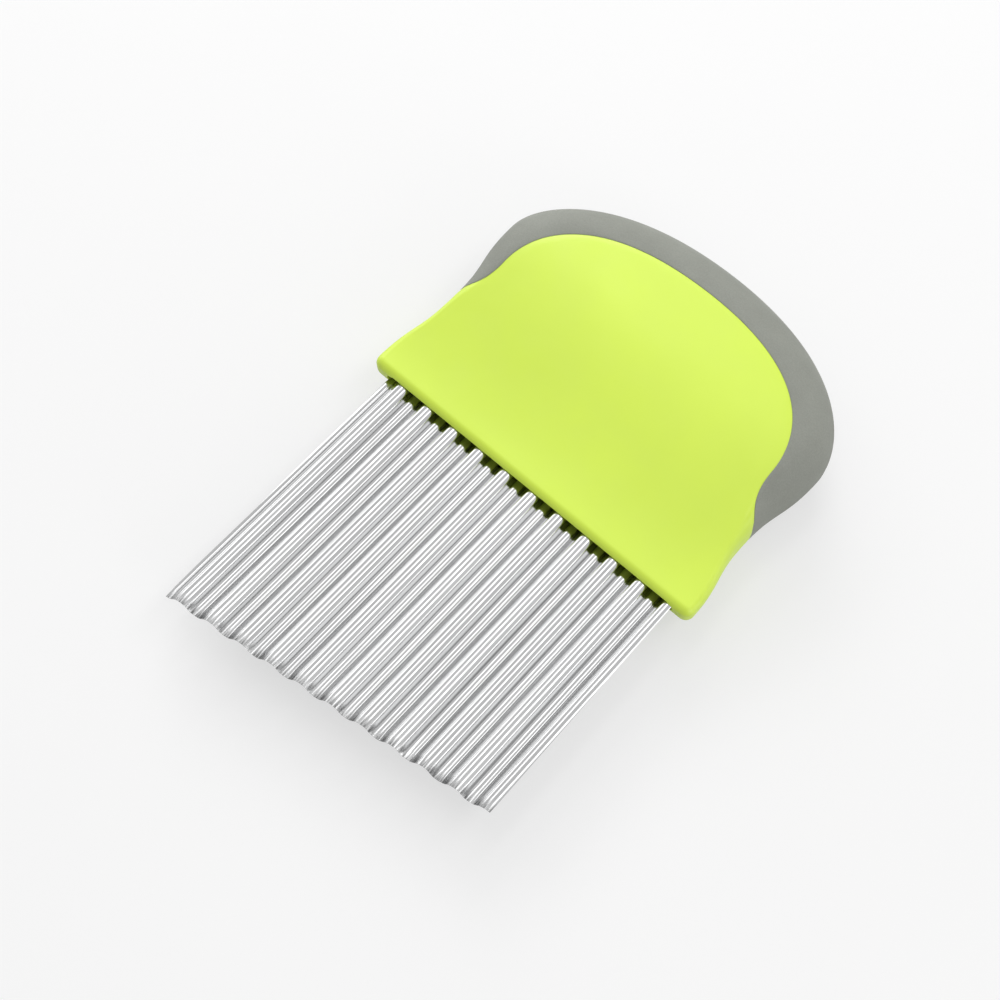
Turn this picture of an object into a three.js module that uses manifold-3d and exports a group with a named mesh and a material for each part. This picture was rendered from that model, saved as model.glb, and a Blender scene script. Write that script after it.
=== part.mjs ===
// Crinkle cutter: a corrugated steel blade pinned between two hollow handle shells, with a soft
// grip cap round the palm end. Millimetres. The cutter lies on its rear face, +Z up, the blade
// towards -Y and its width along X. The origin is under the middle of the whole cutter.
import * as THREE from 'three';
import { mergeVertices } from 'three/addons/utils/BufferGeometryUtils.js';
import Module from 'manifold-3d';

const wasm = await Module();
wasm.setup();

// Blade: a steel sheet with straight flutes and a cutting edge that runs at a slant
const bladeWidth = 90;
const sheetThickness = 0.6;
const flutePitch = 8.45;
const fluteDepth = 2.5;
const firstCrest = 4.7;
const fluteSteepness = 1.3;
const reachLeft = 77.1;
const reachRight = 65.7;
const sideLean = 1.1;
const tangDepth = 24;

// Handle outline, measured up from the mouth and out from the blade's sides
const handleLength = 80.4;
const mouthMargin = 5.1;
const mouthCorner = 2.4;
const waistMargin = 2.4;
const waistHeight = 26;
const palmMargin = 5.5;
const palmHeight = 52;
const shoulderRise = 8;
const crownShoulder = 11.5;

// Handle thickness, as half values from the blade's middle plane, and the flat left at the rim
const palmHalf = 12.5;
const mouthHalf = 3.4;
const scoopStart = 1;
const mouthLand = 0.75;
const palmFlatHalf = 0.8;

// Rounding of the handle's rim, measured in plan, its share of the mouth's corners, and the
// least that inner forms keep
const mouthRound = 2.6;
const sideRound = 9.6;
const crownRound = 14;
const cornerShare = 0.85;
const leastRound = 0.45;
const leastCorner = 0.7;

// Grip cap: where its edge shows on the faces, and how thick it is
const capThickness = 2.3;
const capEndHeight = 28;
const capSideBand = 8.2;
const capCrownBand = 13.4;
const capEndRound = 5.2;
const capEndBend = 3;
const capEndRise = 11.5;
const capSideRise = 7.5;
const capShoulder = 4.7;

// Shell walls, the blade's slot and the pins
const shellWall = 2.2;
const bulkhead = 3;
const pinRadius = 2;
const pinRow = 13;
const pinCount = 4;
const pinEdge = 12;
const pinEmbed = 1.5;
const pinChamfer = 0.35;
const postRadius = 4;
const postSpread = 24;
const postDrop = 23.4;
const pegRadius = 2;
const pegLength = 3;

// Clearances
const slotGap = 0.2;
const seatGap = 0.3;
const pinGap = 0.1;

// Steps of the faceted surfaces
const mouthSteps = 5;
const cornerSteps = 5;
const flankSteps = 8;
const crownSteps = 14;
const rimSteps = 7;
const innerSteps = 3;
const faceSteps = 8;
const flutePoints = 12;
const pinSides = 24;

// Worked out from the sizes above
const bladeHalf = bladeWidth / 2;
const slotHalf = (fluteDepth + sheetThickness) / 2 + slotGap;
const mouthFlatHalf = slotHalf + mouthLand;
const cavityStart = tangDepth + bulkhead;
const underCap = capThickness + seatGap;
const postHeight = handleLength - postDrop;
const far = 4 * (handleLength + bladeWidth);

// Solids and meshes
function solidOf(geometry) {
  const plain = new THREE.BufferGeometry();
  plain.setAttribute('position', geometry.getAttribute('position').clone());
  if (geometry.index) plain.setIndex(geometry.index.clone());
  const merged = mergeVertices(plain, 1e-5);
  const vertProperties = new Float32Array(merged.getAttribute('position').array);
  const triVerts = new Uint32Array(merged.index.array);
  return new wasm.Manifold(new wasm.Mesh({ numProp: 3, vertProperties, triVerts }));
}

function meshOf(name, solid, material) {
  const data = solid.getMesh();
  const geometry = new THREE.BufferGeometry();
  geometry.setAttribute('position', new THREE.BufferAttribute(data.vertProperties, 3));
  geometry.setIndex(new THREE.BufferAttribute(data.triVerts, 1));
  geometry.computeVertexNormals();
  const mesh = new THREE.Mesh(geometry, material);
  mesh.name = name;
  return mesh;
}

function box(x0, x1, y0, y1, z0, z1) {
  const geometry = new THREE.BoxGeometry(x1 - x0, y1 - y0, z1 - z0);
  geometry.translate((x0 + x1) / 2, (y0 + y1) / 2, (z0 + z1) / 2);
  return solidOf(geometry);
}

function prism(points, z0, z1) {
  const shape = new THREE.Shape(points);
  const geometry = new THREE.ExtrudeGeometry(shape, { depth: z1 - z0, bevelEnabled: false });
  geometry.translate(0, 0, z0);
  return solidOf(geometry);
}

function rod(radius, x, y, z0, z1) {
  const geometry = new THREE.CylinderGeometry(radius, radius, z1 - z0, pinSides);
  geometry.rotateX(Math.PI / 2);
  geometry.translate(x, y, (z0 + z1) / 2);
  return solidOf(geometry);
}

// A closed solid through a stack of rings with equal point counts, with its two end rings filled
function loft(rings) {
  const count = rings[0].length;
  const positions = rings.flat().flatMap((p) => [p.x, p.y, p.z]);
  const faces = [];
  for (let r = 0; r + 1 < rings.length; r += 1) {
    for (let i = 0; i < count; i += 1) {
      const a = r * count + i;
      const b = r * count + (i + 1) % count;
      faces.push(a, a + count, b, b, a + count, b + count);
    }
  }
  const fill = (r, flip) => {
    const flat = rings[r].map((p) => new THREE.Vector2(p.x, p.y));
    for (const [a, b, c] of THREE.ShapeUtils.triangulateShape(flat, [])) {
      faces.push(...[a, flip ? c : b, flip ? b : c].map((i) => r * count + i));
    }
  };
  fill(0, false);
  fill(rings.length - 1, true);
  const geometry = new THREE.BufferGeometry();
  geometry.setAttribute('position', new THREE.Float32BufferAttribute(positions, 3));
  geometry.setIndex(faces);
  return solidOf(geometry);
}

// Points of a chain of curves, each with its own number of steps, without doubled ends
function chain(parts) {
  return parts.flatMap(([curve, steps], k) => curve.getPoints(steps).slice(k ? 1 : 0));
}

// A right half, from the bottom middle to the top middle, closed by its mirror image
function mirrored(half) {
  const left = half.slice(1, -1).reverse().map((p) => new THREE.Vector2(-p.x, p.y));
  return [...half, ...left];
}

const smooth = (v, from, to) => THREE.MathUtils.smoothstep(v, from, to);
const at = (x, y) => new THREE.Vector2(x, y);

// Handle outline in plan, drawn in by an inset for what lies beneath the skin
function handleOutline(inset) {
  const mouth = bladeHalf + mouthMargin - inset;
  const waist = bladeHalf + waistMargin - inset;
  const palm = bladeHalf + palmMargin - inset;
  const top = handleLength - inset;
  const corner = Math.max(mouthCorner - inset, leastCorner);
  const lip = inset + corner;
  const flank = (waistHeight + palmHeight) / 2;
  const bottom = new THREE.LineCurve(at(0, inset), at(mouth - corner, inset));
  const turn = new THREE.EllipseCurve(mouth - corner, lip, corner, corner, -Math.PI / 2, 0, false);
  const lower = new THREE.CubicBezierCurve(at(mouth, lip), at(mouth, (lip + waistHeight) / 2),
    at(waist, (lip + waistHeight) / 2), at(waist, waistHeight));
  const upper = new THREE.CubicBezierCurve(at(waist, waistHeight), at(waist, flank), at(palm, flank),
    at(palm, palmHeight));
  const crown = new THREE.CubicBezierCurve(at(palm, palmHeight), at(palm, palmHeight + shoulderRise),
    at(palm - crownShoulder, top), at(0, top));
  return mirrored(chain([
    [bottom, mouthSteps], [turn, cornerSteps], [lower, cornerSteps], [upper, flankSteps], [crown, crownSteps],
  ]));
}

// Half thickness of the faces: thin at the mouth, then a finger scoop up to the flat palm end
function faceHeight(y) {
  return mouthHalf + (palmHalf - mouthHalf) * smooth(y, scoopStart, palmHeight);
}

// How far the rim's rounding runs in from the outline at a height
function rimRound(y) {
  const start = Math.min(mouthRound, cornerShare * mouthCorner);
  const side = start + (sideRound - start) * smooth(y, scoopStart, palmHeight);
  return side + (crownRound - sideRound) * smooth(y, palmHeight, handleLength);
}

// Half height of the flat band that the rim keeps between its two roundings
function rimFlat(y) {
  return mouthFlatHalf + (palmFlatHalf - mouthFlatHalf) * smooth(y, scoopStart, palmHeight);
}

// The handle's full form: rounded rim, scooped faces, alike at the front and the rear
function handleBody(inset) {
  const outline = handleOutline(inset);
  const steps = inset > 0 ? innerSteps : rimSteps;
  const centre = at(0, (scoopStart + handleLength) / 2);
  const rim = outline.map((p, i) => {
    const before = outline.at(i - 1);
    const after = outline[(i + 1) % outline.length];
    const inward = at(before.y - after.y, after.x - before.x).normalize();
    return { p, inward, depth: Math.max(rimRound(p.y) - inset, leastRound), flat: rimFlat(p.y) };
  });
  const rimRing = (turn, side) => rim.map(({ p, inward, depth, flat }) => {
    const spot = p.clone().addScaledVector(inward, depth * (1 - Math.cos(turn)));
    const rise = (faceHeight(spot.y) - inset - flat) * Math.sin(turn);
    return new THREE.Vector3(spot.x, spot.y, side * (flat + rise));
  });
  const faceRing = (scale, side) => rim.map(({ p, inward, depth }) => {
    const edge = p.clone().addScaledVector(inward, depth);
    const spot = edge.sub(centre).multiplyScalar(scale).add(centre);
    return new THREE.Vector3(spot.x, spot.y, side * (faceHeight(spot.y) - inset));
  });
  const front = [];
  const rear = [];
  for (let k = 0; k <= steps; k += 1) {
    const turn = (k / steps) * Math.PI / 2;
    front.unshift(rimRing(turn, 1));
    rear.push(rimRing(turn, -1));
  }
  for (let k = 1; k < faceSteps; k += 1) {
    front.unshift(faceRing(1 - k / faceSteps, 1));
    rear.push(faceRing(1 - k / faceSteps, -1));
  }
  return loft([...front, ...rear]);
}

// The part of the plan that the grip cap leaves bare, drawn in by an inset, up to the cap's ends
function barePrism(inset, end) {
  const side = bladeHalf + palmMargin - capSideBand - inset;
  const top = handleLength - capCrownBand - inset;
  const turn = end + capEndRise;
  const tip = at(side + capEndRound, end);
  const half = chain([
    [new THREE.LineCurve(at(0, -far), at(far, -far)), 1],
    [new THREE.LineCurve(at(far, -far), at(far, end)), 1],
    [new THREE.LineCurve(at(far, end), tip), 1],
    [new THREE.QuadraticBezierCurve(tip, at(side, end + capEndBend), at(side, turn)), flankSteps],
    [new THREE.CubicBezierCurve(at(side, turn), at(side, turn + capSideRise),
      at(side - capShoulder, top), at(0, top)), crownSteps],
  ]);
  return prism(mirrored(half), -far, far);
}

// Places of the pins along the tang
function pinPlaces() {
  const reach = bladeHalf - pinEdge;
  return Array.from({ length: pinCount }, (_, k) => reach * (2 * k / (pinCount - 1) - 1));
}

// Middle of the sheet at a place across the blade: rounded crests and valleys with steep flanks
function flute(x) {
  const phase = 2 * Math.PI * (x + bladeHalf - firstCrest) / flutePitch;
  return fluteDepth / 2 * Math.tanh(fluteSteepness * Math.cos(phase)) / Math.tanh(fluteSteepness);
}

function bladeSolid() {
  const margin = sideLean + flutePitch;
  const width = bladeWidth + 2 * margin;
  const steps = Math.round(width / flutePitch * flutePoints);
  const places = Array.from({ length: steps + 1 }, (_, k) => width * (k / steps - 0.5));
  const front = places.map((x) => at(x, flute(x) + sheetThickness / 2));
  const rear = places.map((x) => at(x, flute(x) - sheetThickness / 2)).reverse();
  const section = new THREE.Shape([...front, ...rear]);
  const length = reachLeft + tangDepth + 2 * margin;
  const sheet = new THREE.ExtrudeGeometry(section, { depth: length, bevelEnabled: false });
  sheet.rotateX(Math.PI / 2);
  sheet.translate(0, tangDepth + margin, 0);
  const outline = [
    at(-bladeHalf, tangDepth),
    at(-bladeHalf, 0),
    at(sideLean - bladeHalf, -reachLeft),
    at(sideLean + bladeHalf, -reachRight),
    at(bladeHalf, 0),
    at(bladeHalf, tangDepth),
  ];
  let blade = solidOf(sheet).intersect(prism(outline, -far, far));
  for (const x of pinPlaces()) blade = blade.subtract(rod(pinRadius + pinGap, x, pinRow, -far, far));
  return blade;
}

// Pins: chamfered dowels across the slot, with both ends in blind holes of the shells
function pinGeometry() {
  const half = slotHalf + pinEmbed;
  const profile = [
    at(0, -half),
    at(pinRadius - pinChamfer, -half),
    at(pinRadius, -half + pinChamfer),
    at(pinRadius, half - pinChamfer),
    at(pinRadius - pinChamfer, half),
    at(0, half),
  ];
  const geometry = new THREE.LatheGeometry(profile, pinSides);
  geometry.rotateX(Math.PI / 2);
  return geometry;
}

// Both shells in one piece, before they are parted: skin, seat for the cap, hollow and slot.
// The cap's ends, the tang's end and the pins' ends each rest on a flat face.
function shellsTogether(skin) {
  const bare = barePrism(seatGap, capEndHeight);
  const bareInside = barePrism(seatGap + shellWall, capEndHeight - shellWall);
  const behindCap = handleBody(underCap);
  const hollowBehindCap = handleBody(underCap + shellWall);
  const hollowBehindFaces = handleBody(shellWall).intersect(bareInside);
  const upper = box(-far, far, cavityStart, far, -far, far);
  const hollow = hollowBehindCap.add(hollowBehindFaces).intersect(upper);
  const slotEnd = bladeHalf + seatGap;
  let body = skin.intersect(bare).add(behindCap).subtract(hollow);
  body = body.subtract(box(-slotEnd, slotEnd, -far, tangDepth, -slotHalf, slotHalf));
  const hole = slotHalf + pinEmbed;
  for (const x of pinPlaces()) body = body.subtract(rod(pinRadius + pinGap, x, pinRow, -hole, hole));
  return body;
}

function frontShell(together) {
  const inner = handleBody(shellWall / 2);
  let shell = together.intersect(box(-far, far, -far, far, 0, far));
  for (const x of [-postSpread, postSpread]) {
    shell = shell.add(rod(postRadius, x, postHeight, 0, far).intersect(inner));
    shell = shell.add(rod(pegRadius, x, postHeight, -pegLength, postRadius));
  }
  return shell;
}

function rearShell(together) {
  const inner = handleBody(shellWall / 2);
  let shell = together.intersect(box(-far, far, -far, far, -far, 0));
  for (const x of [-postSpread, postSpread]) {
    shell = shell.add(rod(postRadius, x, postHeight, -far, 0).intersect(inner));
    shell = shell.subtract(rod(pegRadius + pinGap, x, postHeight, -pegLength - seatGap, postRadius));
  }
  return shell;
}

function capSolid(skin) {
  return skin.subtract(handleBody(capThickness)).subtract(barePrism(0, capEndHeight));
}

const steel = new THREE.MeshStandardMaterial({ color: 0xc9cbcc, roughness: 0.25, metalness: 1 });
const green = new THREE.MeshStandardMaterial({ color: 0xd6ef5b, roughness: 0.5, metalness: 0 });
const grey = new THREE.MeshStandardMaterial({ color: 0x93968f, roughness: 0.8, metalness: 0 });

const skin = handleBody(0);
const together = shellsTogether(skin);

const cutter = new THREE.Group();
cutter.position.set(0, (reachLeft - handleLength) / 2, palmHalf);
cutter.add(meshOf('blade', bladeSolid(), steel));
cutter.add(meshOf('front_shell', frontShell(together), green));
cutter.add(meshOf('rear_shell', rearShell(together), green));
cutter.add(meshOf('grip_cap', capSolid(skin), grey));
pinPlaces().forEach((x, k) => {
  const pin = meshOf(`tang_pin_${k + 1}`, solidOf(pinGeometry()), steel);
  pin.position.set(x, pinRow, 0);
  cutter.add(pin);
});

export default cutter;
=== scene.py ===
"""Looks of a crinkle cutter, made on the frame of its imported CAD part.

Metres. The cutter lies on its rear face, with the blade towards -Y and its width along X. Every piece is
drawn about the middle of the handle's mouth and is then moved to its place in the frame.
"""

import math

import bmesh
import bpy
from bpy.props import FloatProperty, FloatVectorProperty, IntProperty, PointerProperty
from mathutils import Matrix, Vector
from mathutils.geometry import interpolate_bezier, intersect_point_line
from mathutils.kdtree import KDTree


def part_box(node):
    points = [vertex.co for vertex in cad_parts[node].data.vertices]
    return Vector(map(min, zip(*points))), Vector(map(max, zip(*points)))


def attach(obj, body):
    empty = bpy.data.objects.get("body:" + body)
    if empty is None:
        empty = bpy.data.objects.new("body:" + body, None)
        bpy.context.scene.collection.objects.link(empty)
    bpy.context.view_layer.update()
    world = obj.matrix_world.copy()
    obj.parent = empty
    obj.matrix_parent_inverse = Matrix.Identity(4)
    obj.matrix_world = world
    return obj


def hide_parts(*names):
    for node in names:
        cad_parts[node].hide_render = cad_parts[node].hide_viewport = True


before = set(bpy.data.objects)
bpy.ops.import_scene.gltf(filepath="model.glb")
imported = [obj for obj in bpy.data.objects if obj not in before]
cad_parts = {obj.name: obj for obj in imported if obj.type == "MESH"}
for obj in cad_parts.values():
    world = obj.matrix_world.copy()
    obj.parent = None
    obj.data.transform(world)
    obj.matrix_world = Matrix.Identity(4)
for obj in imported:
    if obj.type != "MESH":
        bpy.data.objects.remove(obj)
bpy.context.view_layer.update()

bl_info = {
    "name": "Crinkle cutter",
    "version": (1, 0, 0),
    "blender": (4, 5, 0),
    "location": "View3D > Sidebar > Cutter",
    "description": "Builds the blade, handle shells, grip cap and stage of a crinkle cutter",
    "category": "Object",
}

# Boxes of the CAD solids, and the middle of the handle's mouth
CAD_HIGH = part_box("grip_cap")[1]
BLADE_LOW, BLADE_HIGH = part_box("blade")
MOUTH = Vector((0.0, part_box("front_shell")[0].y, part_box("rear_shell")[1].z))

# How far a curve's handles reach, as a share of the radius, to draw a quarter circle
ROUND_HANDLE = 0.5523
# Share of a corner's radius that has been climbed when the corner is half turned
HALF_TURN = 0.29
# Points on a curve, and on the long curves round the palm end
CURVE_STEPS = 60
LONG_CURVE_STEPS = 160
# Steps of the roll at the cap's edge, and of the roundings at the slot's lip and ends
ROLL_STEPS = 4
LIP_STEPS = 3
END_STEPS = 6
# Rows along the blade before it is cut to shape
BLADE_ROWS = 6
# Distances within which points count as one, and as one row of the blade
SAME_PLACE = 1e-6
SAME_ROW = 1e-5

# Softboxes that the blade mirrors: name, angle from straight up and width, in degrees seen from the blade
STRIPS = (
    ("left_side", -84.0, 10.0),
    ("left_strip", -58.0, 15.0),
    ("overhead_left", -16.0, 10.0),
    ("overhead_right", 22.0, 15.0),
    ("right_side", 83.0, 14.0),
)
# How far the strips lean towards the palm end, as the sine of the angle
STRIP_RISE = 0.3
# Softboxes that light the handle: name, angle from straight up in degrees, size, and lean as a sine
BOXES = (
    ("key", -50.0, (0.5, 0.4), 0.68),
    ("fill", 70.0, (0.5, 0.25), -0.15),
)
BOX_AWAY = 0.9
# How far below the mouth all softboxes point
LAMP_AIM = 0.04

# The directions that run right and up in the camera's picture
CAMERA_RIGHT = Vector((0.7516, 0.6556, 0.0724))
CAMERA_UP = Vector((-0.6187, 0.6627, 0.4219))
SENSOR_WIDTH = 36.0
NEAR_CLIP = 0.01
FLOOR_SIZE = 3.24
WHITE = (1.0, 1.0, 1.0, 1.0)


def length(name, description, default):
    """A size in metres that a user can change."""
    return FloatProperty(name=name, description=description, default=default, min=0.0, unit="LENGTH")


def share(name, description, default, high=1.0):
    """A plain factor that a user can change."""
    return FloatProperty(name=name, description=description, default=default, min=0.0, max=high)


def count(name, description, default):
    """A number of steps that a user can change."""
    return IntProperty(name=name, description=description, default=default, min=2)


def colour(name, description, default):
    """A linear colour that a user can change."""
    return FloatVectorProperty(name=name, description=description, default=default, size=3,
                               min=0.0, max=1.0, subtype="COLOR")


class CutterBlade(bpy.types.PropertyGroup):
    """Sizes of the corrugated blade."""

    width: length("Width", "Width of the blade at the handle's mouth", 0.09)
    pitch: length("Flute pitch", "Distance from one crest to the next", 0.00845)
    depth: length("Flute depth", "Height from valley to crest in the middle of the sheet", 0.0025)
    steepness: share("Flute steepness", "How much the crests are flattened and the flanks steepened",
                     1.3, high=4.0)
    first_crest: length("First crest", "Distance of the first crest from the left side", 0.0048)
    flute_lean: share("Flute lean", "How far the flutes drift to the right for each length", 0.0058)
    sheet: length("Sheet", "Thickness of the sheet", 0.0006)
    reach_left: length("Left side", "Length of the left side below the mouth", MOUTH.y - BLADE_LOW.y)
    reach_right: length("Right side", "Length of the right side below the mouth", 0.0657)
    lean: length("Lean", "How far the lower end stands to the right of the upper end", 0.0011)
    tang: length("Tang", "Depth of the blade inside the handle", BLADE_HIGH.y - MOUTH.y)
    grind: length("Ground edge", "Height of the ground edge", 0.0026)
    edge: share("Edge share", "Share of the sheet's thickness that is left at the cutting edge", 0.3)
    steps: count("Steps", "Points across one flute", 28)


class CutterHandle(bpy.types.PropertyGroup):
    """Sizes of the handle's skin."""

    height: length("Height", "Height of the handle above its mouth", CAD_HIGH.y - MOUTH.y)
    mouth_margin: length("Mouth margin", "How far the mouth's corners stand out past the blade", 0.0051)
    mouth_corner: length("Mouth corner", "Radius of the mouth's corners in plan", 0.0024)
    waist_margin: length("Waist margin", "How far the waist stands out past the blade", 0.0024)
    waist_height: length("Waist height", "Height of the waist", 0.026)
    palm_margin: length("Palm margin", "How far the palm end stands out past the blade", 0.0055)
    palm_height: length("Palm height", "Height of the palm end's widest place", 0.052)
    shoulder_rise: length("Shoulder rise", "How far the palm's sides run on before they bend", 0.008)
    crown_shoulder: length("Crown shoulder", "How far in from the sides the crown starts to bend", 0.0115)
    mouth_half: length("Mouth half", "Half thickness at the mouth", 0.0034)
    palm_half: length("Palm half", "Half thickness at the palm end", CAD_HIGH.z - MOUTH.z)
    scoop_start: length("Scoop start", "Height at which the finger scoop starts", 0.001)
    mouth_flat: length("Mouth flat", "Half height of the flat band at the mouth", 0.0012)
    palm_flat: length("Palm flat", "Half height of the flat band at the palm end", 0.0008)
    mouth_round: length("Mouth rounding", "Depth of the rim's rounding at the mouth", 0.002)
    side_round: length("Side rounding", "Depth of the rim's rounding at the palm's sides", 0.0096)
    round_start: length("Rounding start", "Height at which the rim's rounding starts to grow", 0.02)
    crown_round: length("Crown rounding", "Depth of the rim's rounding at the crown", 0.014)
    slot_half: length("Slot half", "Half height of the blade's slot", 0.0016)
    slot_side: length("Slot side gap", "Gap beside the blade in its slot", 0.0003)
    slot_ease: length("Slot rounding", "Rounding of the slot's lip", 0.0004)
    slot_end: length("Slot end rounding", "Rounding of the slot's two ends", 0.0014)
    lean_from: length("Lean start", "Height below which the mouth's face leans back", 0.00125)
    lean_reach: length("Lean reach", "How far up the handle the mouth's lean is felt", 0.012)
    mouth_lean: FloatProperty(name="Mouth lean", description="Angle at which the mouth's face leans back",
                              default=math.radians(8.0), subtype="ANGLE")
    parting: length("Parting line", "Chamfer along the line where the shells meet", 0.00012)
    across: count("Steps across", "Points along the mouth, and along the cap's edge", 140)
    along: count("Steps along", "Points up each bare side", 44)
    rim: count("Rim steps", "Steps of the rim's rounding", 9)


class CutterCap(bpy.types.PropertyGroup):
    """Sizes of the grip cap's edge."""

    end_height: length("End height", "Height of the cap's two ends", 0.028)
    side_band: length("Side band", "Width of the cap on the faces at the sides", 0.0082)
    crown_band: length("Crown band", "Width of the cap on the faces at the crown", 0.0134)
    end_round: length("End width", "How far the cap's ends run out from the side band's edge", 0.0052)
    end_bend: length("End bend", "How sharply the edge turns up from the ends", 0.003)
    end_rise: length("End rise", "Height over which the edge turns up", 0.0115)
    side_rise: length("Side rise", "How far the edge runs on before it bends to the crown", 0.0075)
    shoulder: length("Shoulder", "How far in the edge starts to bend down from the crown", 0.0047)
    gap: length("Gap", "Gap between the cap and the shells", 0.00002)
    shell_roll: length("Shell roll", "Width over which the shells' edge rolls down to the cap", 0.0022)
    shell_drop: length("Shell drop", "How far the shells' edge rolls down", 0.0002)
    shell_blend: length("Shell blend", "Height below the cap's ends over which the roll fades out", 0.008)
    cap_roll: length("Cap roll", "Width over which the cap's edge rolls down", 0.0006)
    cap_drop: length("Cap drop", "How far the cap's edge rolls down", 0.00012)
    steps: count("Steps", "Steps from the cap's edge to the rim", 22)


class CutterFinish(bpy.types.PropertyGroup):
    """Colours of the finishes, in linear values."""

    green: colour("Handle green", "Colour of the moulded shells", (0.672, 0.882, 0.058))
    grey: colour("Grip grey", "Colour of the soft cap", (0.273, 0.283, 0.25))
    steel: colour("Steel", "Colour of the blade and the pins", (0.5, 0.502, 0.504))


class CutterStage(bpy.types.PropertyGroup):
    """Floor, lamps and camera."""

    camera: FloatVectorProperty(name="Camera", description="Place of the camera", size=3, unit="LENGTH",
                                default=(0.1012, -0.17255, 0.4242))
    focal: FloatProperty(name="Focal length", description="Camera's focal length", default=68.4,
                         unit="CAMERA")
    away: length("Lamp distance", "Distance of the softboxes that the blade mirrors", 1.6)
    strip: share("Strips", "Radiance of the softboxes that the blade mirrors", 1.98, high=20.0)
    key: share("Key", "Radiance of the main softbox", 4.1, high=20.0)
    fill: share("Fill", "Radiance of the softbox opposite the main one", 2.6, high=20.0)
    sky: share("Sky", "Strength of the surrounding light on matt surfaces", 0.47, high=2.0)
    floor: colour("Floor", "Colour of the floor", (0.4, 0.4, 0.4))
    floor_glow: share("Floor glow", "Brightness of the floor to the camera besides its lit colour", 0.55)


def mix(start, end, part):
    """A value between two values."""
    return start + (end - start) * part


def smooth(value, start, end):
    """A soft step from 0 to 1 between two values."""
    part = min(max((value - start) / (end - start), 0.0), 1.0)
    return part * part * (3.0 - 2.0 * part)


def at(x, y, z=0.0):
    """A place or a direction."""
    return Vector((x, y, z))


def curve(start, first, second, end, steps=CURVE_STEPS):
    """Points of one curve, without its last."""
    return interpolate_bezier(start, first, second, end, steps + 1)[:-1]


def right_outline(blade, handle):
    """The right half of the handle's outline in plan, from the mouth's middle to the crown's."""
    half = blade.width / 2
    mouth = half + handle.mouth_margin
    waist = half + handle.waist_margin
    palm = half + handle.palm_margin
    corner = handle.mouth_corner
    bend = corner * (1.0 - ROUND_HANDLE)
    low = (corner + handle.waist_height) / 2
    flank = (handle.waist_height + handle.palm_height) / 2
    side = handle.palm_height
    top = at(0, handle.height)
    points = curve(at(0, 0), at(mouth / 3, 0), at(mouth / 2, 0), at(mouth - corner, 0))
    points += curve(at(mouth - corner, 0), at(mouth - bend, 0), at(mouth, bend), at(mouth, corner))
    points += curve(at(mouth, corner), at(mouth, low), at(waist, low), at(waist, handle.waist_height))
    points += curve(at(waist, handle.waist_height), at(waist, flank), at(palm, flank), at(palm, side))
    points += curve(at(palm, side), at(palm, side + handle.shoulder_rise),
                    at(palm - handle.crown_shoulder, handle.height), top, LONG_CURVE_STEPS)
    return points + [top]


def right_seam(blade, handle, cap):
    """The right half of the cap's edge in plan, from its end on the handle's side to the crown."""
    side = blade.width / 2 + handle.palm_margin - cap.side_band
    tip = at(side + cap.end_round, cap.end_height)
    bend = at(side, cap.end_height + cap.end_bend)
    turn = at(side, cap.end_height + cap.end_rise)
    top = at(0, handle.height - cap.crown_band)
    points = curve(tip, tip.lerp(bend, 2 / 3), turn.lerp(bend, 2 / 3), turn)
    points += curve(turn, turn + at(0, cap.side_rise), at(side - cap.shoulder, top.y), top,
                    LONG_CURVE_STEPS)
    return points + [top]


def spread(points, steps):
    """The same line with its points at even distances."""
    runs = [0.0]
    for a, b in zip(points, points[1:]):
        runs.append(runs[-1] + (b - a).length)
    places = []
    k = 0
    for n in range(steps + 1):
        goal = runs[-1] * n / steps
        while k < len(points) - 2 and runs[k + 1] < goal:
            k += 1
        places.append(points[k].lerp(points[k + 1], (goal - runs[k]) / (runs[k + 1] - runs[k])))
    return places


def mirrored(points):
    """The left counterpart of a line on the right, run the other way."""
    return [at(-p.x, p.y, p.z) for p in reversed(points)]


def inward(points, closed=True):
    """Directions to the left of a line at each of its points."""
    turned = []
    for k, p in enumerate(points):
        before = points[k - 1] if k or closed else p
        after = points[(k + 1) % len(points)] if k + 1 < len(points) or closed else p
        turned.append(at(before.y - after.y, after.x - before.x).normalized())
    return turned


class Skin:
    """The handle's front skin as a height above the blade's middle plane."""

    def __init__(self, blade, handle):
        self.handle = handle
        right = right_outline(blade, handle)
        self.outline = right + mirrored(right)[1:-1]
        self.tree = KDTree(len(self.outline))
        for k, p in enumerate(self.outline):
            self.tree.insert(p, k)
        self.tree.balance()

    def face(self, y):
        """Height of the face: thin at the mouth, then a finger scoop up to the palm end."""
        h = self.handle
        return mix(h.mouth_half, h.palm_half, smooth(y, h.scoop_start, h.palm_height))

    def flat(self, y):
        """Half height of the flat band at the rim."""
        h = self.handle
        return mix(h.mouth_flat, h.palm_flat, smooth(y, h.scoop_start, h.palm_height))

    def rounding(self, y):
        """How far the rim's rounding runs in from the outline."""
        h = self.handle
        side = mix(h.mouth_round, h.side_round, smooth(y, h.round_start, h.palm_height))
        return side + (h.crown_round - h.side_round) * smooth(y, h.palm_height, h.height)

    def rim(self, p):
        """The outline's nearest point to a place."""
        spot = at(p.x, p.y)
        k = self.tree.find(spot)[1]
        feet = []
        for a, b in ((k - 1, k), (k, (k + 1) % len(self.outline))):
            part = intersect_point_line(spot, self.outline[a], self.outline[b])[1]
            feet.append(self.outline[a].lerp(self.outline[b], min(max(part, 0.0), 1.0)))
        return min(feet, key=lambda foot: (foot - spot).length)

    def height(self, p):
        """Height of the skin over a place in plan."""
        foot = self.rim(p)
        away = (foot - at(p.x, p.y)).length
        part = max(1.0 - away / self.rounding(foot.y), 0.0)
        return mix(self.flat(foot.y), self.face(p.y), math.sqrt(1.0 - part * part))


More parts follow.
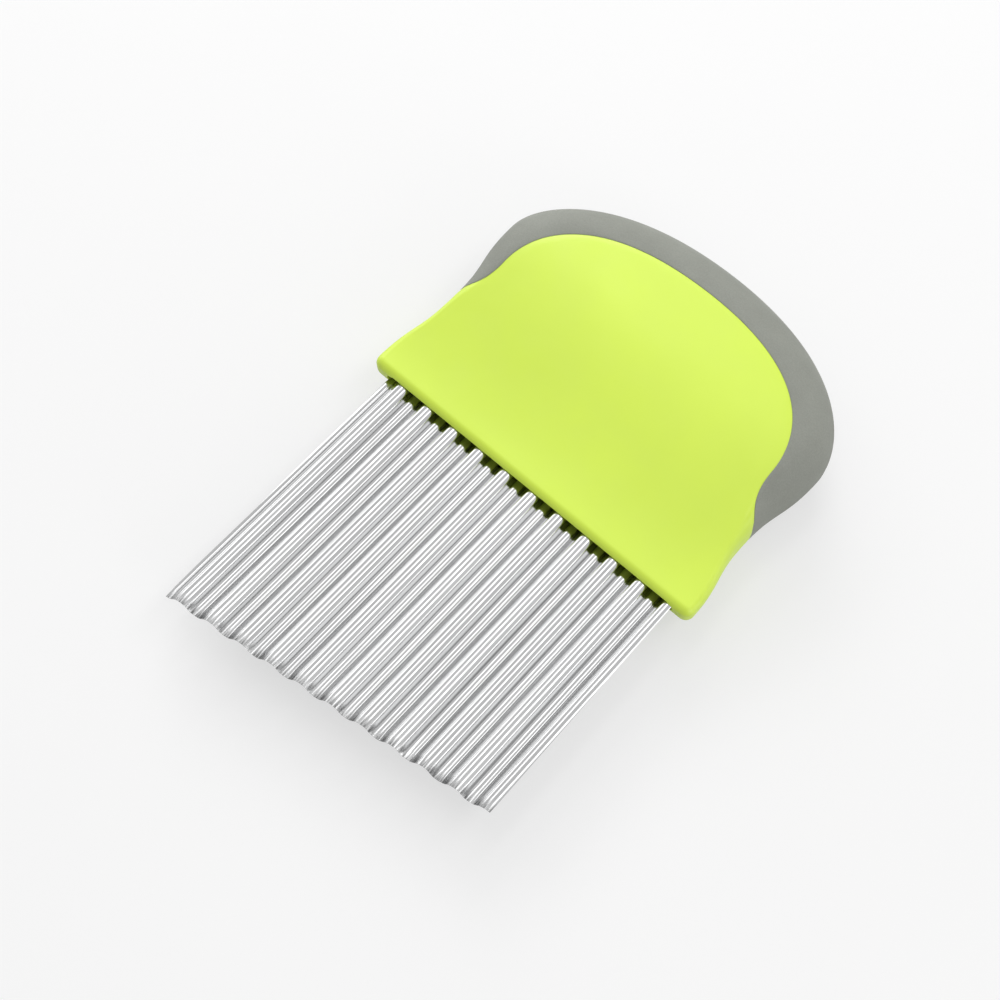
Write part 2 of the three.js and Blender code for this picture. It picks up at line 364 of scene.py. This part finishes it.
def alone(piece):
    """Makes a piece the only one that is selected."""
    bpy.ops.object.select_all(action="DESELECT")
    piece.select_set(True)
    bpy.context.view_layer.objects.active = piece


def edit(piece):
    """Opens a piece for editing with nothing selected, and returns its mesh."""
    alone(piece)
    bpy.ops.object.mode_set(mode="EDIT")
    bpy.ops.mesh.select_mode(type="VERT")
    bpy.ops.mesh.select_all(action="DESELECT")
    return bmesh.from_edit_mesh(piece.data)


def leave():
    """Closes the piece that is open for editing."""
    bpy.ops.object.mode_set(mode="OBJECT")


def pick(piece, test):
    """Selects the vertices that pass a test, and the edges and faces between them."""
    mesh = bmesh.from_edit_mesh(piece.data)
    for vertex in mesh.verts:
        vertex.select = test(vertex)
    mesh.select_flush_mode()
    bmesh.update_edit_mesh(piece.data)


def pick_edges(piece, test):
    """Selects the edges that pass a test."""
    bpy.ops.mesh.select_mode(type="EDGE")
    for edge in bmesh.from_edit_mesh(piece.data).edges:
        edge.select = test(edge)
    bmesh.update_edit_mesh(piece.data)


def merge(piece):
    """Joins a piece's points that lie in one place, and leaves it open for editing."""
    edit(piece)
    bpy.ops.mesh.select_all(action="SELECT")
    bpy.ops.mesh.remove_doubles(threshold=SAME_PLACE)


def sheet_through(name, sections):
    """A sheet through sections of equal counts: a grid whose points are set on the sections."""
    bpy.ops.object.select_all(action="DESELECT")
    bpy.ops.mesh.primitive_grid_add(x_subdivisions=len(sections[0]) - 1, y_subdivisions=len(sections) - 1)
    piece = bpy.context.active_object
    piece.name = piece.data.name = name
    places = [p for section in sections for p in section]
    made = len(piece.data.vertices)
    if len(places) != made:
        raise RuntimeError(f"{name}: the grid has {made} points for {len(places)} places")
    for vertex, place in zip(piece.data.vertices, places):
        vertex.co = place
    return piece


def apply(piece, kind, **settings):
    """Adds a modifier and applies it."""
    alone(piece)
    modifier = piece.modifiers.new(kind.lower(), kind)
    for key, value in settings.items():
        setattr(modifier, key, value)
    bpy.ops.object.modifier_apply(modifier=modifier.name)


def settle(piece, node, finish, angle=35.0):
    """Moves a drawn piece to its place, smooths it and hands it over for a CAD node."""
    edit(piece)
    bpy.ops.mesh.select_all(action="SELECT")
    bpy.ops.transform.translate(value=MOUTH)
    bpy.ops.mesh.normals_make_consistent(inside=False)
    leave()
    bpy.ops.object.shade_smooth_by_angle(angle=math.radians(angle))
    piece.data.materials.clear()
    piece.data.materials.append(finish)
    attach(piece, "root")
    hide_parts(node)


class NodeTree:
    """A node tree whose nodes are added and joined by name."""

    def __init__(self, tree):
        self.tree = tree

    def add(self, kind, **settings):
        """Adds a node, with its settings and inputs by name, or inputs by number as i0 and i1."""
        node = self.tree.nodes.new(kind)
        for key, value in settings.items():
            if key in node.bl_rna.properties:
                setattr(node, key, value)
            elif key[0] == "i" and key[1:].isdigit():
                self.feed(node, int(key[1:]), value)
            else:
                self.feed(node, key, value)
        return node

    def feed(self, node, key, value):
        """Links an input to another node's output, or sets it to a constant."""
        if isinstance(value, bpy.types.NodeSocket):
            self.tree.links.new(value, node.inputs[key])
        else:
            node.inputs[key].default_value = value

    def place(self, scale=(1, 1, 1)):
        """Object coordinates, stretched."""
        origin = self.add("ShaderNodeTexCoord").outputs["Object"]
        return self.add("ShaderNodeMapping", Vector=origin, Scale=scale).outputs["Vector"]

    def noise(self, scale, stretch=(1, 1, 1), detail=2.0, roughness=0.5):
        """Cloudy noise about 0.5."""
        return self.add("ShaderNodeTexNoise", Vector=self.place(stretch), Scale=scale, Detail=detail,
                        Roughness=roughness).outputs["Fac"]

    def span(self, value, low, high, start=0.3, end=0.7):
        """A value brought from the range start to end into the range low to high."""
        node = self.add("ShaderNodeMapRange", Value=value)
        node.inputs["From Min"].default_value = start
        node.inputs["From Max"].default_value = end
        node.inputs["To Min"].default_value = low
        node.inputs["To Max"].default_value = high
        return node.outputs["Result"]

    def times(self, first, second):
        """The product of two values."""
        return self.add("ShaderNodeMath", operation="MULTIPLY", i0=first, i1=second).outputs["Value"]

    def larger(self, first, second):
        """The larger of two values."""
        return self.add("ShaderNodeMath", operation="MAXIMUM", i0=first, i1=second).outputs["Value"]

    def scaled(self, tone, factor):
        """A colour made darker or lighter by a factor."""
        return self.add("ShaderNodeVectorMath", operation="SCALE", i0=tone, Scale=factor).outputs["Vector"]

    def tint(self, part, first, second):
        """A colour between two colours. A mix node's inputs 6 and 7 and its output 2 are colours."""
        node = self.add("ShaderNodeMix", data_type="RGBA", i0=part, i6=(*first, 1.0), i7=(*second, 1.0))
        return node.outputs[2]

    def bump(self, height, depth, **normal):
        """Normals of a surface with a relief of some depth, on top of other normals if those are given."""
        node = self.add("ShaderNodeBump", Distance=depth, Height=height, Strength=1.0, **normal)
        return node.outputs["Normal"]


class Finish(NodeTree):
    """The nodes of a new material."""

    def __init__(self, name):
        self.material = bpy.data.materials.new(name)
        self.material.use_nodes = True
        super().__init__(self.material.node_tree)

    def set(self, key, value):
        """Sets or links one input of the material's shader."""
        self.feed(self.tree.nodes["Principled BSDF"], key, value)


def shade(base, factor):
    """A constant colour made darker or lighter by a factor."""
    return tuple(min(channel * factor, 1.0) for channel in base)


def plastic(scene):
    """Satin moulded plastic: a fine spark-eroded grain, faint flow clouding and uneven gloss."""
    green = scene.cutter_finish.green
    finish = Finish("satin_green_plastic")
    cloud = finish.span(finish.noise(scale=38.0, detail=3.0), low=0.0, high=1.0)
    gloss = finish.noise(scale=160.0, detail=4.0)
    grain = finish.bump(finish.noise(scale=5200.0, detail=2.0), depth=0.000012)
    waves = finish.bump(finish.noise(scale=90.0, detail=1.0), depth=0.00003, Normal=grain)
    finish.set("Base Color", finish.tint(cloud, shade(green, 0.97), shade(green, 1.02)))
    finish.set("Roughness", finish.span(gloss, low=0.38, high=0.48))
    finish.set("Specular IOR Level", 0.8)
    finish.set("Normal", waves)
    return finish.material


def rubber(scene):
    """Soft-touch rubber: matt, with a dense grain and paler rubbed patches."""
    grey = scene.cutter_finish.grey
    finish = Finish("soft_grey_rubber")
    rubbed = finish.span(finish.noise(scale=70.0, detail=5.0, roughness=0.6), low=0.0, high=1.0)
    speck = finish.span(finish.noise(scale=2600.0, detail=2.0), low=0.94, high=1.05)
    grain = finish.bump(finish.noise(scale=3600.0, detail=3.0), depth=0.00003)
    patches = finish.tint(rubbed, shade(grey, 0.95), shade(grey, 1.05))
    finish.set("Base Color", finish.scaled(patches, speck))
    finish.set("Roughness", finish.span(rubbed, low=0.72, high=0.6, start=0.0, end=1.0))
    finish.set("Specular IOR Level", 0.35)
    finish.set("Normal", grain)
    return finish.material


def edge_frame(blade):
    """A corner on the cutting edge, and the direction straight out of that edge."""
    slope = at(blade.width, blade.reach_left - blade.reach_right).normalized()
    return at(blade.lean - blade.width / 2, -blade.reach_left), at(slope.y, -slope.x)


def drawn_steel(scene):
    """Bright stainless sheet: fine lines along the flutes, and dark grinding marks at the cutting edge."""
    steel, blade = scene.cutter_finish.steel, scene.cutter_blade
    corner, out = edge_frame(blade)
    edge = (corner + MOUTH).dot(out)
    finish = Finish("bright_drawn_steel")
    lines = finish.noise(scale=1.0, stretch=(4200.0, 9.0, 900.0), detail=3.0, roughness=0.6)
    streaks = finish.noise(scale=1.0, stretch=(700.0, 5.0, 200.0), detail=2.0)
    marks = finish.noise(scale=1.0, stretch=(2200.0, 40.0, 300.0), detail=3.0, roughness=0.6)
    reach = finish.add("ShaderNodeVectorMath", operation="DOT_PRODUCT", i0=finish.place(), i1=out)
    near = finish.span(reach.outputs["Value"], low=0.0, high=1.0,
                       start=edge - 1.2 * blade.grind, end=edge - 0.1 * blade.grind)
    scratched = finish.times(near, finish.span(marks, low=0.0, high=1.0, start=0.35, end=0.65))
    ground = finish.span(scratched, low=1.0, high=0.25, start=0.15, end=0.9)
    smear = finish.span(streaks, low=0.88, high=1.06)
    finish.set("Base Color", finish.scaled(steel, finish.times(smear, ground)))
    finish.set("Metallic", 1.0)
    finish.set("Roughness", finish.span(finish.times(near, marks), low=0.1, high=0.4, start=0.0, end=0.7))
    finish.set("Normal", finish.bump(lines, depth=0.000004))
    return finish.material


def material(name, make, scene):
    """A finish by name, made on its first use."""
    return bpy.data.materials.get(name) or make(scene)


def flute(blade, x):
    """Height of the sheet's middle at a place across the blade."""
    turn = math.tau * (x + blade.width / 2 - blade.first_crest) / blade.pitch
    return blade.depth / 2 * math.tanh(blade.steepness * math.cos(turn)) / math.tanh(blade.steepness)


class CUTTER_OT_blade(bpy.types.Operator):
    """Corrugated steel blade with a slanted ground edge"""

    bl_idname = "cutter.blade"
    bl_label = "Blade"

    def execute(self, context):
        blade = context.scene.cutter_blade
        half = blade.width / 2
        step = blade.pitch / blade.steps
        margin = blade.pitch
        columns = math.ceil((blade.width + 2 * margin) / step)
        left = -columns * step / 2
        low = -blade.reach_left - margin
        bpy.ops.object.select_all(action="DESELECT")
        bpy.ops.mesh.primitive_grid_add(x_subdivisions=columns, y_subdivisions=BLADE_ROWS, size=1.0)
        piece = context.active_object
        piece.name = piece.data.name = "corrugated_blade"
        edit(piece)
        bpy.ops.mesh.select_all(action="SELECT")
        bpy.ops.transform.resize(value=(columns * step, blade.tang - low, 1.0))
        bpy.ops.transform.translate(value=(0.0, (blade.tang + low) / 2, 0.0))
        for k in range(blade.steps):
            pick(piece, lambda v: round((v.co.x - left) / step) % blade.steps == k)
            bpy.ops.transform.translate(value=(0.0, 0.0, flute(blade, left + k * step)))
        rows = sorted({round(v.co.y, 6) for v in bmesh.from_edit_mesh(piece.data).verts})
        for row in rows:
            pick(piece, lambda v: abs(v.co.y - row) < SAME_ROW)
            bpy.ops.transform.translate(value=(-row * blade.flute_lean, 0.0, 0.0))
        corner, across = edge_frame(blade)
        tilt = blade.lean / blade.reach_left
        cuts = (
            (corner, across, True),
            (at(-half, 0), at(-1, -tilt), True),
            (at(-half, 0), at(-1, 0), True),
            (at(half, 0), at(1, tilt), True),
            (corner - across * blade.grind, across, False),
        )
        for place, normal, clear in cuts:
            bpy.ops.mesh.select_all(action="SELECT")
            bpy.ops.mesh.bisect(plane_co=place, plane_no=normal, clear_outer=clear)
        pick(piece, lambda v: (v.co - corner).dot(across) < -blade.grind / 2)
        bpy.ops.object.vertex_group_assign_new()
        leave()
        apply(piece, "SOLIDIFY", thickness=blade.sheet, offset=0.0, use_even_offset=True,
              vertex_group=piece.vertex_groups[0].name, thickness_vertex_group=blade.edge)
        piece.vertex_groups.clear()
        steel = material("bright_drawn_steel", drawn_steel, context.scene)
        settle(piece, "blade", steel, angle=40.0)
        return {"FINISHED"}


def shell_edge(skin, blade, handle, cap):
    """A shell's outline in plan, and for each of its points whether it lies on the cap's edge."""
    right = right_outline(blade, handle)
    seam = right_seam(blade, handle, cap)
    corner = next(k for k, p in enumerate(right) if p.y > handle.mouth_corner * HALF_TURN)
    tip = next(k for k, p in enumerate(right) if p.y > cap.end_height)
    lip = right[: corner + 1]
    mouth = spread(mirrored(lip) + lip[1:], handle.across)
    flank = spread(right[corner:tip] + [skin.rim(seam[0])], handle.along)
    seam[0] = flank[-1]
    arch = spread(seam + mirrored(seam)[1:], handle.across)
    edge = mouth[:-1] + flank[:-1] + arch[:-1] + mirrored(flank)[:-1]
    start = handle.across + handle.along
    return edge, [start <= k <= start + handle.across for k in range(len(edge))]


def shell_rings(skin, edge, on_seam, handle, cap):
    """Rings round a shell, from the parting plane up its side and in over the rim's rounding."""
    inner = inward(edge)
    depth = []
    for p, seamed in zip(edge, on_seam):
        free = 0.0 if seamed else smooth(cap.end_height - p.y, 0.0, cap.shell_blend)
        depth.append(mix(cap.shell_roll, skin.rounding(p.y), free))
    rings = [
        [p + way * handle.parting for p, way in zip(edge, inner)],
        [at(p.x, p.y, handle.parting) for p in edge],
        [at(p.x, p.y, skin.height(p) - cap.shell_drop * seamed) for p, seamed in zip(edge, on_seam)],
    ]
    for k in range(1, handle.rim + 1):
        turn = math.pi / 2 * k / handle.rim
        ring = []
        for p, seamed, way, deep in zip(edge, on_seam, inner, depth):
            spot = p + way * deep * (1.0 - math.cos(turn))
            spot.z = skin.height(spot) - cap.shell_drop * seamed * math.cos(turn) ** 2
            ring.append(spot)
        rings.append(ring)
    return rings


def close_shell(piece, skin, handle):
    """Fills a shell's parting plane and then its face, whose new points are lifted to the skin."""
    merge(piece)
    for high in (False, True):
        bpy.ops.mesh.select_all(action="DESELECT")
        mesh = bmesh.from_edit_mesh(piece.data)
        for e in mesh.edges:
            e.select = e.is_boundary and (e.verts[0].co.z > handle.parting) == high
        ends = [v for v in mesh.verts if v.select]
        mesh.select_history.clear()
        mesh.select_history.add(min(ends, key=lambda v: v.co.x + v.co.y))
        bmesh.update_edit_mesh(piece.data)
        bpy.ops.mesh.fill_grid(span=handle.across, offset=0, use_interp_simple=True)
    for v in bmesh.from_edit_mesh(piece.data).verts:
        if v.select:
            v.co.z = skin.height(v.co)
    bpy.ops.mesh.select_all(action="SELECT")
    bpy.ops.mesh.normals_make_consistent(inside=False)
    leave()


def cut_slot(piece, blade, handle):
    """Cuts the blade's slot into a shell and eases the slot's lip."""
    bpy.ops.object.select_all(action="DESELECT")
    bpy.ops.mesh.primitive_cube_add(size=1.0)
    block = bpy.context.active_object
    size = (blade.width + 2 * handle.slot_side, 2 * blade.tang, 2 * handle.slot_half)
    edit(block)
    bpy.ops.mesh.select_all(action="SELECT")
    bpy.ops.transform.resize(value=size)
    pick_edges(block, lambda e: abs(e.verts[0].co.y - e.verts[1].co.y) > blade.tang)
    bpy.ops.mesh.bevel(offset=handle.slot_end, segments=END_STEPS)
    leave()
    apply(piece, "BOOLEAN", object=block, operation="DIFFERENCE", solver="EXACT")
    bpy.data.objects.remove(block)

    def on_lip(v):
        return v.co.y < blade.tang / 2 and abs(v.co.z - handle.slot_half) < SAME_PLACE

    edit(piece)
    pick_edges(piece, lambda e: all(on_lip(v) for v in e.verts))
    bpy.ops.mesh.bevel(offset=handle.slot_ease, segments=LIP_STEPS)
    leave()


def lean_mouth(piece, handle):
    """Leans the mouth's face back towards the rear, and less and less up the handle."""
    mesh = edit(piece)
    slope = math.tan(handle.mouth_lean)
    for v in mesh.verts:
        drop = max(handle.lean_from - v.co.z, 0.0)
        v.co.y += drop * slope * (1.0 - smooth(v.co.y, 0.0, handle.lean_reach))
    bmesh.update_edit_mesh(piece.data)
    leave()


class CUTTER_OT_shells(bpy.types.Operator):
    """Front and rear handle shells with rounded rims, a finger scoop and the blade's slot"""

    bl_idname = "cutter.shells"
    bl_label = "Handle shells"

    def execute(self, context):
        scene = context.scene
        blade, handle, cap = scene.cutter_blade, scene.cutter_handle, scene.cutter_cap
        skin = Skin(blade, handle)
        edge, on_seam = shell_edge(skin, blade, handle, cap)
        rings = shell_rings(skin, edge, on_seam, handle, cap)
        front = sheet_through("front_shell_skin", [ring + ring[:1] for ring in rings])
        close_shell(front, skin, handle)
        cut_slot(front, blade, handle)
        alone(front)
        bpy.ops.object.duplicate()
        rear = context.active_object
        rear.name = rear.data.name = "rear_shell_skin"
        edit(rear)
        bpy.ops.mesh.select_all(action="SELECT")
        bpy.ops.transform.resize(value=(1.0, 1.0, -1.0), center_override=(0.0, 0.0, 0.0))
        leave()
        lean_mouth(front, handle)
        lean_mouth(rear, handle)
        green = material("satin_green_plastic", plastic, scene)
        settle(front, "front_shell", green)
        settle(rear, "rear_shell", green)
        return {"FINISHED"}


class CUTTER_OT_cap(bpy.types.Operator):
    """Soft cap round the palm end and down both sides"""

    bl_idname = "cutter.cap"
    bl_label = "Grip cap"

    def execute(self, context):
        scene = context.scene
        blade, handle, cap = scene.cutter_blade, scene.cutter_handle, scene.cutter_cap
        skin = Skin(blade, handle)
        right = right_outline(blade, handle)
        seam = right_seam(blade, handle, cap)
        tip = skin.rim(seam[0])
        rim = spread([tip] + [p for p in right if p.y > tip.y], handle.across // 2)
        rim += mirrored(rim)[1:]
        edge = spread([tip] + seam[1:], handle.across // 2)
        edge += mirrored(edge)[1:]
        sections = []
        for p, far, way in zip(edge, rim, inward(edge, closed=False)):
            band = (far - p).length / 3
            near = p - way * min(cap.gap, band)
            drop = cap.cap_drop * min(1.0, band / cap.cap_roll)
            rows = [near, near + at(0, 0, skin.height(near) - drop)]
            for k in range(1, ROLL_STEPS + 1):
                turn = math.pi / 2 * k / ROLL_STEPS
                spot = near - way * min(cap.cap_roll, band) * (1.0 - math.cos(turn))
                rows.append(spot + at(0, 0, skin.height(spot) - drop * (1.0 - math.sin(turn))))
            for k in range(1, cap.steps + 1):
                place = spot.lerp(far, math.sin(math.pi / 2 * k / cap.steps))
                rows.append(place + at(0, 0, skin.height(place)))
            sections.append(rows + [far])
        piece = sheet_through("soft_grip_cap", sections)
        apply(piece, "MIRROR", use_axis=(False, False, True), merge_threshold=SAME_PLACE)
        merge(piece)
        leave()
        settle(piece, "grip_cap", material("soft_grey_rubber", rubber, scene))
        return {"FINISHED"}


class CUTTER_OT_pins(bpy.types.Operator):
    """Steel finish on the four dowels inside the handle"""

    bl_idname = "cutter.pins"
    bl_label = "Tang pins"

    def execute(self, context):
        steel = material("bright_drawn_steel", drawn_steel, context.scene)
        for name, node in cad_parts.items():
            if name.startswith("tang_pin"):
                node.data.materials.clear()
                node.data.materials.append(steel)
        return {"FINISHED"}


def seen_directly(tree):
    """1 for rays from the camera and for those seen in metal or glass, 0 for the rest."""
    path = tree.add("ShaderNodeLightPath").outputs
    shiny = tree.larger(path["Is Glossy Ray"], path["Is Transmission Ray"])
    return tree.larger(path["Is Camera Ray"], shiny)


def floor_finish(stage):
    """Matt pale board that keeps its shadow and looks nearly white to the camera."""
    finish = Finish("pale_floor")
    mottle = finish.span(finish.noise(scale=9.0, detail=4.0), low=0.0, high=1.0)
    finish.set("Base Color", finish.tint(mottle, shade(stage.floor, 0.99), shade(stage.floor, 1.01)))
    finish.set("Roughness", finish.span(mottle, low=0.85, high=0.95, start=0.0, end=1.0))
    finish.set("Specular IOR Level", 0.1)
    finish.set("Emission Color", WHITE)
    finish.set("Emission Strength", finish.times(seen_directly(finish), stage.floor_glow))
    return finish.material


def light_sky(scene, stage):
    """A white surround, dimmer as a light than it looks."""
    scene.world = bpy.data.worlds.new("studio_surround")
    scene.world.use_nodes = True
    tree = NodeTree(scene.world.node_tree)
    back = scene.world.node_tree.nodes["Background"]
    tree.feed(back, "Color", WHITE)
    strength = tree.span(seen_directly(tree), low=stage.sky, high=1.0, start=0.0, end=1.0)
    tree.feed(back, "Strength", strength)


def softbox(name, angle, size, radiance, away, rise):
    """A rectangular lamp that points at the blade, at an angle across it and with a rise along it."""
    centre = Vector((0.0, MOUTH.y - LAMP_AIM, MOUTH.z))
    level = math.sqrt(1.0 - rise * rise)
    back = Vector((math.sin(angle) * level, rise, math.cos(angle) * level))
    side = Vector((0.0, 1.0, 0.0)).cross(back).normalized()
    turn = Matrix((side, back.cross(side), back)).transposed()
    bpy.ops.object.light_add(type="AREA", location=centre + back * away, rotation=turn.to_euler())
    lamp = bpy.context.active_object
    lamp.name = lamp.data.name = name
    lamp.data.shape = "RECTANGLE"
    lamp.data.size, lamp.data.size_y = size
    lamp.data.energy = radiance * math.pi * size[0] * size[1]


class CUTTER_OT_stage(bpy.types.Operator):
    """Floor, soft studio lamps and the camera"""

    bl_idname = "cutter.stage"
    bl_label = "Stage"

    def execute(self, context):
        scene = context.scene
        stage = scene.cutter_stage
        bpy.ops.object.select_all(action="DESELECT")
        bpy.ops.mesh.primitive_plane_add(size=FLOOR_SIZE)
        floor = context.active_object
        floor.name = floor.data.name = "studio_floor"
        floor.data.materials.append(floor_finish(stage))
        light_sky(scene, stage)
        for name, angle, width in STRIPS:
            size = (2.0 * stage.away * math.tan(math.radians(width) / 2), stage.away)
            softbox(name, math.radians(angle), size, stage.strip, stage.away, STRIP_RISE)
        for name, angle, size, rise in BOXES:
            softbox(name, math.radians(angle), size, getattr(stage, name), BOX_AWAY, rise)
        turn = Matrix((CAMERA_RIGHT, CAMERA_UP, CAMERA_RIGHT.cross(CAMERA_UP))).transposed()
        bpy.ops.object.camera_add(location=stage.camera, rotation=turn.to_euler())
        camera = context.active_object
        camera.name = camera.data.name = "photo_camera"
        camera.data.lens = stage.focal
        camera.data.sensor_width = SENSOR_WIDTH
        camera.data.clip_start = NEAR_CLIP
        camera.data.dof.use_dof = False
        scene.camera = camera
        scene.view_settings.view_transform = "Standard"
        return {"FINISHED"}


class CUTTER_PT_panel(bpy.types.Panel):
    """Buttons that build the cutter's pieces"""

    bl_idname = "CUTTER_PT_panel"
    bl_label = "Crinkle cutter"
    bl_space_type = "VIEW_3D"
    bl_region_type = "UI"
    bl_category = "Cutter"

    def draw(self, context):
        for operator in OPERATORS:
            self.layout.operator(operator.bl_idname)


GROUPS = {
    "cutter_blade": CutterBlade,
    "cutter_handle": CutterHandle,
    "cutter_cap": CutterCap,
    "cutter_finish": CutterFinish,
    "cutter_stage": CutterStage,
}
OPERATORS = (CUTTER_OT_blade, CUTTER_OT_shells, CUTTER_OT_cap, CUTTER_OT_pins, CUTTER_OT_stage)
CLASSES = (*GROUPS.values(), *OPERATORS, CUTTER_PT_panel)


def register():
    """Registers the classes and gives every scene the groups of sizes."""
    for cls in CLASSES:
        bpy.utils.register_class(cls)
    for name, group in GROUPS.items():
        setattr(bpy.types.Scene, name, PointerProperty(type=group))


def unregister():
    """Takes back what register did."""
    for name in GROUPS:
        delattr(bpy.types.Scene, name)
    for cls in reversed(CLASSES):
        bpy.utils.unregister_class(cls)


def main():
    """Builds the stage and all pieces."""
    register()
    bpy.ops.cutter.stage()
    bpy.ops.cutter.blade()
    bpy.ops.cutter.shells()
    bpy.ops.cutter.cap()
    bpy.ops.cutter.pins()


if __name__ == "__main__":
    main()
